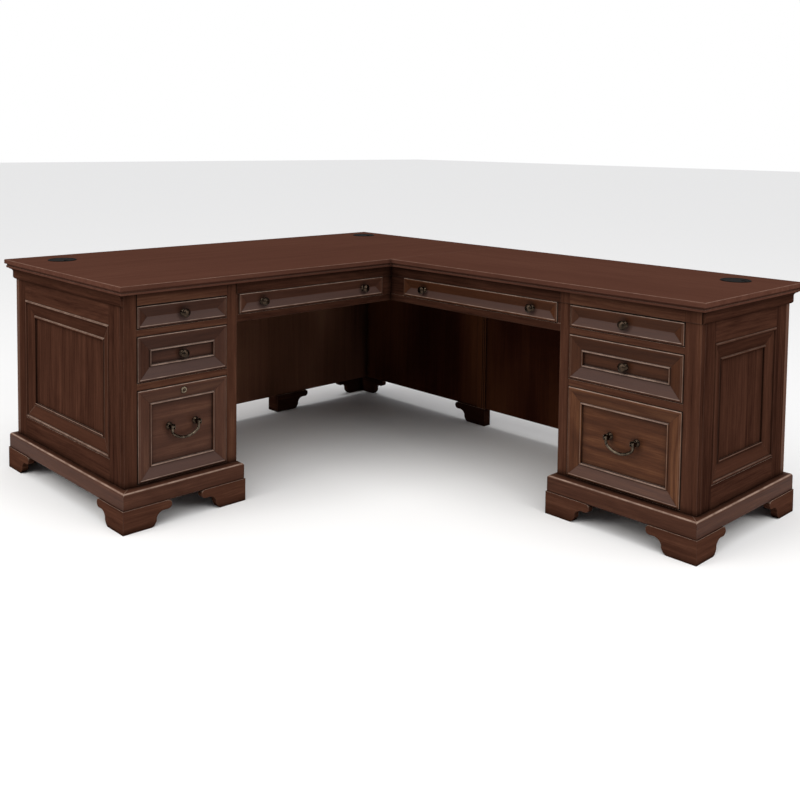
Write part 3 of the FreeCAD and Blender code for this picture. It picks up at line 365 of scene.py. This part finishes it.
def grain_clouded(boards, depth):
    """An upright panel with soft wide clouds of darker and warmer stain."""
    tree = boards.tree
    vector = boards.along("Z")
    cloud = noise(tree, vector, PANEL_CLOUDS, 1.5, 0.5, (2.0, 0.7, 0.0))
    return vector, times(tree, centred(tree, cloud), depth), 0.0, 0.0


def grain_leaves(boards, width):
    """A veneered top: leaves of a set width, side by side, with the grain along U."""
    tree = boards.tree
    number = calc(tree, "FLOOR", calc(tree, "DIVIDE", boards.w, width))
    flat = joined(tree, boards.u, boards.w, boards.z)
    cloud = centred(tree, noise(tree, flat, TOP_CLOUDS))
    tone = added(tree, TOP_CLOUD_DEPTH, cloud, boards.tone_of(number, LEAF_TONES))
    return boards.moved(flat, number), tone, 0.0, 0.0


def grain_run(boards):
    """Lengths of moulding, each with its grain along itself."""
    tree = boards.tree
    across_x, across_y = (calc(tree, "ABSOLUTE", part) for part in boards.normal[:2])
    side = calc(tree, "GREATER_THAN", across_x, across_y)
    along_x = joined(tree, boards.x, boards.z, boards.y)
    along_y = joined(tree, boards.y, boards.z, boards.x)
    vector = boards.moved(choose(tree, side, along_x, along_y), side)
    return vector, boards.tone_of(side, RUN_TONES), 0.0, 0.0


def grain_feet(boards, knee_start):
    """Feet as lengths of moulding, darker where they stand in the kneehole's shade."""
    tree = boards.tree
    vector, tone, joint, ridge = grain_run(boards)
    shaded = spread(tree, boards.y, knee_start, knee_start + KNEE_FADE, 0.0, KNEE_SHADE)
    return vector, calc(tree, "ADD", tone, shaded), joint, ridge


def grain_stiles(boards, low, high, end_tone=0.0):
    """A frame: upright stiles outside low and high, level rails between them, darker on its ends."""
    tree = boards.tree
    out = step_outside(tree, boards.u, low, high)
    stile = calc(tree, "GREATER_THAN", out, 0.0)
    far = calc(tree, "GREATER_THAN", boards.u, (low + high) / 2)
    rail_number = calc(tree, "FLOOR", calc(tree, "DIVIDE", boards.z, RAIL_PITCH))
    stile_number = calc(tree, "ADD", far, 20.0)
    number = choose_number(tree, stile, rail_number, stile_number)
    vector = choose(tree, stile, boards.along("U"), boards.along("Z"))
    end = calc(tree, "GREATER_THAN", calc(tree, "ABSOLUTE", boards.normal_u), 0.5)
    tone = added(tree, end_tone, end, boards.tone_of(number, STILE_TONES))
    return boards.moved(vector, number), tone, thin_line(tree, out), 0.0


def grain_mitred(boards, field, field_way, frame_edge=None, ridges=()):
    """A field with mitred lengths round it. Past frame_edge, in U, upright stiles begin.

    Each ridge is a line of painted highlight and rubbed wear: how far out it runs from the field, its half
    width, and its strength above, beside and below the field.
    """
    tree = boards.tree
    u_low, z_low, u_high, z_high = field
    out_u = step_outside(tree, boards.u, u_low, u_high)
    out_z = step_outside(tree, boards.z, z_low, z_high)
    away = calc(tree, "MAXIMUM", out_u, out_z)
    outside = calc(tree, "GREATER_THAN", away, 0.0)
    post = calc(tree, "GREATER_THAN", out_u, out_z)
    mitre = thin_line(tree, calc(tree, "SUBTRACT", out_u, out_z))
    line = times(tree, mitre, outside)
    if frame_edge is not None:
        margin_u, margin_z = frame_edge
        stile = calc(tree, "GREATER_THAN", out_u, margin_u)
        rail = calc(tree, "GREATER_THAN", out_z, margin_z)
        rail = times(tree, rail, calc(tree, "SUBTRACT", 1.0, stile))
        post = calc(tree, "MAXIMUM", stile, times(tree, post, calc(tree, "SUBTRACT", 1.0, rail)))
        line = times(tree, line, calc(tree, "LESS_THAN", out_u, margin_u))
        line = times(tree, line, calc(tree, "LESS_THAN", out_z, margin_z))
    far_u = calc(tree, "GREATER_THAN", boards.u, (u_low + u_high) / 2)
    far_z = calc(tree, "GREATER_THAN", boards.z, (z_low + z_high) / 2)
    number = choose_number(tree, post, calc(tree, "ADD", far_z, 1.0), calc(tree, "ADD", far_u, 5.0))
    number = times(tree, number, outside)
    border = choose(tree, post, boards.along("U"), boards.along("Z"))
    vector = choose(tree, outside, boards.along(field_way), border)
    wear_highlight = 0.0
    for distance, half, above, beside, below in ridges:
        near = thin_line(tree, calc(tree, "SUBTRACT", away, distance), half)
        level = calc(tree, "MULTIPLY_ADD", far_z, above - below, below)
        strength = choose_number(tree, post, level, beside)
        wear_highlight = calc(tree, "MAXIMUM", wear_highlight, times(tree, near, strength))
    return boards.moved(vector, number), boards.tone_of(number, MITRE_TONES), line, wear_highlight


# ---------------------------------------------------------------- materials


def wood(name, side, rule, colours=CHERRY, glaze_shade=1.35, figure=0.07, tone=0.0, gloss=0.04,
         streak=1.0, wear_highlight=1.0, sheen_colour=None):
    """A wood material. side is the face plane's U axis, and rule says how its boards lie."""
    material, tree, shader = new_material(name)
    vector, board_tone, line, ridge = rule(Boards(tree, side))
    look = tree.nodes.new("ShaderNodeGroup")
    look.node_tree = WOOD
    dark, middle, light = colours
    values = {
        "Grain": vector, "Tone": calc(tree, "ADD", board_tone, tone), "Joint": line, "Ridge": ridge,
        "Dark": dark, "Middle": middle, "Light": light, "UpwardSheen": sheen_colour or middle,
        "GlazeShade": glaze_shade, "Figure": figure, "Streak": streak, "HighlightWear": wear_highlight,
    }
    for label, value in values.items():
        put(tree, look.inputs[label], value)
    for output, target in (("Color", "Base Color"), ("Roughness", "Roughness"), ("Normal", "Normal")):
        tree.links.new(look.outputs[output], shader.inputs[target])
    shader.inputs["Specular IOR Level"].default_value = gloss
    return material


METAL_BEVEL = 0.0008
METAL_HOLLOW = 0.006
METAL_BUMP = (0.25, 0.0002)
PATINA = (90.0, 90.0, 90.0)
SPECKS = (900.0, 900.0, 900.0)


def metal(name, base, worn, dark, roughness, bevel=METAL_BEVEL):
    """A metal with darker hollows and rubbed edges."""
    material, tree, shader = new_material(name)
    place = tree.nodes.new("ShaderNodeTexCoord").outputs["Object"]
    normal, edge, open_air = edges_and_hollows(tree, bevel, METAL_HOLLOW)
    patina = noise(tree, place, PATINA, 4.0, 0.62)
    speck = noise(tree, place, SPECKS)
    colour = blended(tree, spread(tree, patina, 0.36, 0.64), dark, base)
    wear_highlight = times(tree, edge, spread(tree, patina, 0.3, 0.6, 0.4, 1.0))
    colour = blended(tree, wear_highlight, colour, worn)
    shut = calc(tree, "SUBTRACT", 1.0, open_air, clamp=True)
    colour = blended(tree, times(tree, shut, 0.7), colour, dark)
    rough = spread(tree, patina, 0.3, 0.7, roughness * 0.8, roughness * 1.3)
    height = added(tree, 0.5, speck, patina)
    put(tree, shader.inputs["Base Color"], colour)
    put(tree, shader.inputs["Roughness"], rough)
    put(tree, shader.inputs["Normal"], bumped(tree, height, normal, *METAL_BUMP))
    shader.inputs["Metallic"].default_value = 1.0
    return material


PLASTIC_BEVEL = 0.0006
PLASTIC_HOLLOW = 0.01
PLASTIC_BUMP = (0.3, 0.0002)
HAZE = (60.0, 60.0, 60.0)
PEBBLES = (1500.0, 1500.0, 1500.0)


def plastic(name, base, pale):
    """Moulded plastic with a fine grain and handled edges."""
    material, tree, shader = new_material(name)
    place = tree.nodes.new("ShaderNodeTexCoord").outputs["Object"]
    normal, edge, _ = edges_and_hollows(tree, PLASTIC_BEVEL, PLASTIC_HOLLOW)
    haze = noise(tree, place, HAZE, 3.0, 0.6)
    pebble = noise(tree, place, PEBBLES)
    colour = blended(tree, spread(tree, haze, 0.3, 0.7, 0.0, 0.5), base, pale)
    colour = blended(tree, times(tree, edge, 0.6), colour, pale)
    put(tree, shader.inputs["Base Color"], colour)
    put(tree, shader.inputs["Roughness"], spread(tree, haze, 0.3, 0.7, 0.45, 0.6))
    put(tree, shader.inputs["Normal"], bumped(tree, pebble, normal, *PLASTIC_BUMP))
    shader.inputs["Specular IOR Level"].default_value = 0.04
    return material


def plain(name, colour, roughness):
    """A plain studio material."""
    material, _, shader = new_material(name)
    shader.inputs["Base Color"].default_value = colour
    shader.inputs["Roughness"].default_value = roughness
    shader.inputs["Specular IOR Level"].default_value = 0.1
    return material


# ---------------------------------------------------------------- the desk's pieces

# Each wing's U axis in its drawers' face plane and in the plane of its pedestal's side
FACE = {"desk": "Y", "return": "X"}
FLANK = {"desk": "X", "return": "Y"}

# Sizes that the CAD has too, and where its parts' looks change
MOULDING = 0.060
BACK_MOULDING = 0.045
BACK_STILE = 0.076
BACK_PANEL = (0.201, 0.625)
SUNK_BORDER = 0.050
FRONT_BAND = 0.007
FRONT_GAP = 0.002
KNEE_FEET_START = 0.05  # how far along the modesty panel the feet in the kneehole's shade begin
PAST_ALL_FEET = 1.0
LEAF_WIDTH = {"desk": 0.2155, "return": 0.2113}

# Lines of painted highlight and rubbed wear, as grain_mitred takes them
BEAD_RIDGE = (0.003, 0.0015, 0.6, 0.3, 0.65)
PANEL_RIDGES = {
    "desk": ((0.008, 0.0016, 0.6, 0.10, 0.4), (MOULDING - 0.005, 0.0018, 0.5, 0.10, 0.25)),
    "return": ((0.008, 0.0016, 0.15, 0.10, 0.10), (MOULDING - 0.005, 0.0018, 0.2, 0.10, 0.15)),
}
PANEL_HIGHLIGHT_WEAR = {"desk": 0.8, "return": 0.3}
SIDE_TONE = {"desk": -0.20, "return": -0.26}
FRONT_TONE = {"upper": -0.20, "middle": -0.20, "file": 0.0, "pencil": -0.12}
FRONT_STAIN = {"desk": PLUM, "return": CHERRY}
# The kneehole boards' colours: the desk's lighter than the cherry, the return's nearly black
KNEE_BOARD_COLOURS = {
    "desk": ((0.035, 0.014, 0.0080, 1.0), (0.120, 0.052, 0.031, 1.0), (0.220, 0.105, 0.062, 1.0)),
    "return": ((0.004, 0.0011, 0.0006, 1.0), (0.030, 0.0085, 0.0045, 1.0), (0.082, 0.028, 0.012, 1.0)),
}
PLAIN_FRONT = dict(figure=0.05, streak=0.75, gloss=0.08, sheen_colour=PAINTED_SHEEN)
FIGURED_FRONT = dict(figure=0.20, streak=1.0, gloss=0.08, sheen_colour=PAINTED_SHEEN)


def wear(name, material):
    """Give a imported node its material."""
    slots = nodes[name].data.materials
    slots.clear()
    slots.append(material)


def rectangle(name, axis, inset=0.0):
    """A node's box seen from the front: low U, low Z, high U, high Z, drawn in by the inset."""
    low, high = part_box(name)
    side = "XY".index(axis)
    return low[side] + inset, low.z + inset, high[side] - inset, high.z - inset


def dress_pedestal(wing):
    """The case, plinth and feet of one wing's pedestal, and what closes its kneehole."""
    front, flank = FACE[wing], FLANK[wing]
    low, _, high, _ = rectangle(f"{wing}_side_panel", flank)
    field = rectangle(f"{wing}_side_panel", flank, MOULDING)
    back_low, _, back_high, _ = rectangle(f"{wing}_pedestal_back", front, BACK_STILE + BACK_MOULDING)
    back_field = (back_low, BACK_PANEL[0] + BACK_MOULDING, back_high, BACK_PANEL[1] - BACK_MOULDING)
    back_edge = (BACK_MOULDING, BACK_MOULDING)
    drawer_low, _, drawer_high, _ = rectangle(f"{wing}_file_drawer_front", front, -FRONT_GAP)
    knee_start = PAST_ALL_FEET
    if wing == "desk":
        knee_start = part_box("desk_modesty_panel")[0].y + KNEE_FEET_START
    side_look = dict(colours=PLUM, tone=SIDE_TONE[wing], gloss=0.0)
    looks = {
        "side_frame": (flank, lambda b: grain_stiles(b, low, high), side_look),
        "side_panel": (flank, lambda b: grain_mitred(b, field, "Z", None, PANEL_RIDGES[wing]),
                       dict(side_look, figure=0.05, wear_highlight=PANEL_HIGHLIGHT_WEAR[wing])),
        "pedestal_back": (front, lambda b: grain_mitred(b, back_field, "Z", back_edge), {}),
        "face_frame": (front, lambda b: grain_stiles(b, drawer_low, drawer_high, SIDE_TONE[wing]),
                       dict(colours=PLUM, gloss=0.0)),
        "case_boards": (flank, lambda b: grain_straight(b, "Z"), dict(colours=INSIDE)),
        "plinth": ("X", grain_run, dict(colours=PLUM, tone=-0.04, gloss=0.03, wear_highlight=0.75)),
        "feet": ("X", lambda b: grain_feet(b, knee_start), dict(colours=PLUM, tone=-0.04, gloss=0.0)),
        "apron": (front, lambda b: grain_straight(b, "U"), dict(colours=PLUM, tone=-0.28, gloss=0.0)),
        "modesty_panel": (front, lambda b: grain_clouded(b, 1.6),
                          dict(colours=KNEE_BOARD_COLOURS[wing], figure=0.0, streak=0.45, gloss=0.0)),
    }
    for part, (side, rule, options) in looks.items():
        wear(f"{wing}_{part}", wood(f"{wing}_{part}_cherry", side, rule, **options))


def front_ridges(border):
    """Painted highlight and rubbed wear on the top edge of a drawer front and on the ridge where its lower
    bevel starts.
    """
    return (border - 0.0012, 0.0014, 0.75, 0.28, 0.0), (border - FRONT_BAND, 0.0014, 0.0, 0.10, 0.7)


def front_layout(name, axis, sunk):
    """A drawer front's field and its lines of painted highlight and rubbed wear. A front that isn't sunk
    is mitred to its middle.
    """
    if sunk:
        return rectangle(name, axis, SUNK_BORDER), (BEAD_RIDGE, *front_ridges(SUNK_BORDER))
    low_u, low_z, high_u, high_z = rectangle(name, axis)
    half = (high_z - low_z) / 2
    return (low_u + half, low_z + half, high_u - half, high_z - half), front_ridges(half)


def dress_drawers(wing):
    """The fronts and boxes of one wing's drawers."""
    for drawer, tone in FRONT_TONE.items():
        name = f"{wing}_{drawer}_drawer_front"
        field, ridges = front_layout(name, FACE[wing], drawer in ("middle", "file"))
        rule = lambda b, f=field, r=ridges: grain_mitred(b, f, "U", None, r)
        look = FIGURED_FRONT if (wing, drawer) == ("return", "file") else PLAIN_FRONT
        wear(name, wood(name + "_cherry", FACE[wing], rule, FRONT_STAIN[wing], tone=tone, **look))
        wear(f"{wing}_{drawer}_drawer_box", PALE_WOOD)


PALE_WOOD = wood("drawer_wood", "X", grain_run, PALE, 0.35, 0.10, gloss=0.2, wear_highlight=0.4)
for wing in ("desk", "return"):
    dress_pedestal(wing)
    dress_drawers(wing)
for wing, axis in FACE.items():
    rule = lambda b, w=LEAF_WIDTH[wing]: grain_leaves(b, w)
    top_look = dict(colours=TOP, glaze_shade=0.8, figure=0.06, gloss=0.0, streak=0.7, wear_highlight=0.35)
    wear(f"{wing}_top", wood(f"{wing}_top_cherry", axis, rule, **top_look))
wear("cornice_moulding", wood("cornice_cherry", "X", grain_run, PLUM, 1.5, tone=-0.22, gloss=0.0, wear_highlight=0.6))
wear("desk_end_panel", wood("end_panel_cherry", "X", lambda b: grain_clouded(b, 1.8),
                            KNEE_BOARD_COLOURS["return"], figure=0.0, streak=0.45, gloss=0.0, tone=0.2))

# Each metal's base, worn and dark colour, and its roughness
BRONZE = metal("aged_bronze", (0.060, 0.040, 0.027, 1.0), (0.42, 0.33, 0.24, 1.0),
               (0.020, 0.015, 0.011, 1.0), 0.25)
BAIL = metal("rubbed_bronze", (0.125, 0.098, 0.070, 1.0), (0.50, 0.42, 0.32, 1.0),
             (0.030, 0.022, 0.016, 1.0), 0.28)
BRASS = metal("lock_brass", (0.42, 0.34, 0.24, 1.0), (0.66, 0.57, 0.44, 1.0),
              (0.10, 0.08, 0.05, 1.0), 0.30)
STEEL = metal("zinc_steel", (0.56, 0.57, 0.58, 1.0), (0.74, 0.75, 0.76, 1.0),
              (0.30, 0.31, 0.32, 1.0), 0.36, METAL_BEVEL / 2)
PLASTIC = plastic("black_plastic", (0.0035, 0.0033, 0.0030, 1.0), (0.018, 0.017, 0.016, 1.0))
for name in sorted(nodes):
    if name.endswith("_bail"):
        wear(name, BAIL)
    elif "knob" in name or name.endswith(("pull_posts", "lock_plug")):
        wear(name, BRONZE)
    elif "lock" in name:
        wear(name, BRASS)
    elif "grommet" in name:
        wear(name, PLASTIC)
    elif "slide" in name or name in ("drawer_runners", "joining_brackets"):
        wear(name, STEEL)

# ---------------------------------------------------------------- studio

FLOOR_REACH = 40.0
FLOOR_WHITE = (0.86, 0.86, 0.855, 1.0)
BACKDROP = (1.0, 1.0, 1.0, 1.0)
WALLS = (0.25, 0.25, 0.26, 1.0)
SKY_STRENGTH = 2.35
SKY_TURN = (math.radians(16.0), math.radians(12.0), 0.0)
SKY_ANGLE = math.radians(75.0)

# Each softbox: its place, what it faces, its width, its power in watts and its colour
SOFTBOXES = {
    "key_light": ((-0.8, -4.4, 3.4), (0.0, 0.0, 0.4), 2.4, 75.0, (1.0, 0.97, 0.93)),
    "side_light": ((4.6, 0.2, 3.4), (0.2, 0.0, 0.4), 2.2, 70.0, (1.0, 0.98, 0.96)),
    "low_left_light": ((-2.6, -5.2, 1.25), (0.4, 0.2, 0.5), 2.3, 40.0, (1.0, 1.0, 1.0)),
    "low_right_light": ((5.4, 2.8, 1.25), (-0.2, -0.6, 0.5), 2.3, 40.0, (1.0, 1.0, 1.0)),
}

CAMERA_PLACE = (2.4340, -2.2672, 1.2104)
CAMERA_YAW = math.radians(46.108)
CAMERA_PITCH = math.radians(3.555)
CAMERA_ROLL = math.radians(0.688)
CAMERA_LENS = 43.86  # in mm, as is the sensor
CAMERA_SENSOR = 36.0
CAMERA_SHIFT = -0.25
CAMERA_CLIP = (0.05, 100.0)


def placed(name, data):
    """A new object in the scene."""
    thing = bpy.data.objects.new(name, data)
    bpy.context.scene.collection.objects.link(thing)
    return thing


def studio_floor():
    """A wide pale floor."""
    mesh = bpy.data.meshes.new("studio_floor")
    corners = [(x * FLOOR_REACH, y * FLOOR_REACH, 0) for x, y in ((-1, -1), (1, -1), (1, 1), (-1, 1))]
    mesh.from_pydata(corners, [], [(0, 1, 2, 3)])
    floor = placed("studio_floor", mesh)
    mesh.materials.append(plain("studio_floor_white", FLOOR_WHITE, 0.9))


def studio_world():
    """A white backdrop behind the desk, in a studio whose walls are darker than its softboxes."""
    world = bpy.data.worlds.new("studio_world")
    world.use_nodes = True
    tree = world.node_tree
    background = tree.nodes["Background"]
    seen = tree.nodes.new("ShaderNodeLightPath").outputs["Is Camera Ray"]
    put(tree, background.inputs["Color"], blended(tree, seen, WALLS, BACKDROP))
    bpy.context.scene.world = world


def sky():
    """A broad, even light from above that reaches the whole floor."""
    light = bpy.data.lights.new("sky_light", "SUN")
    light.energy = SKY_STRENGTH
    light.angle = SKY_ANGLE
    placed("sky_light", light).rotation_euler = SKY_TURN


def softbox(name, at, target, size, watts, colour):
    """A square studio softbox that faces a point."""
    light = bpy.data.lights.new(name, "AREA")
    light.shape = "SQUARE"
    light.size = size
    light.energy = watts
    light.color = colour
    lamp = placed(name, light)
    lamp.location = at
    lamp.rotation_euler = (Vector(target) - Vector(at)).to_track_quat("-Z", "Y").to_euler()


def photo_camera():
    """The camera: its place, its three axes, its lens and its downward shift."""
    data = bpy.data.cameras.new("camera")
    camera = placed("camera", data)
    sideways, ahead = -math.sin(CAMERA_YAW), math.cos(CAMERA_YAW)
    level = math.cos(CAMERA_PITCH)
    forward = Vector((sideways * level, ahead * level, -math.sin(CAMERA_PITCH)))
    level_right = Vector((ahead, -sideways, 0.0))
    level_up = level_right.cross(forward)
    right = level_right * math.cos(CAMERA_ROLL) + level_up * math.sin(CAMERA_ROLL)
    up = level_up * math.cos(CAMERA_ROLL) - level_right * math.sin(CAMERA_ROLL)
    turn = Matrix((right, up, -forward)).transposed().to_4x4()
    camera.matrix_world = Matrix.Translation(CAMERA_PLACE) @ turn
    data.lens = CAMERA_LENS
    data.sensor_width = CAMERA_SENSOR
    data.shift_y = CAMERA_SHIFT
    data.clip_start, data.clip_end = CAMERA_CLIP
    bpy.context.scene.camera = camera


studio_floor()
studio_world()
sky()
for name, place in SOFTBOXES.items():
    softbox(name, *place)
photo_camera()
bpy.context.scene.view_settings.view_transform = "Standard"
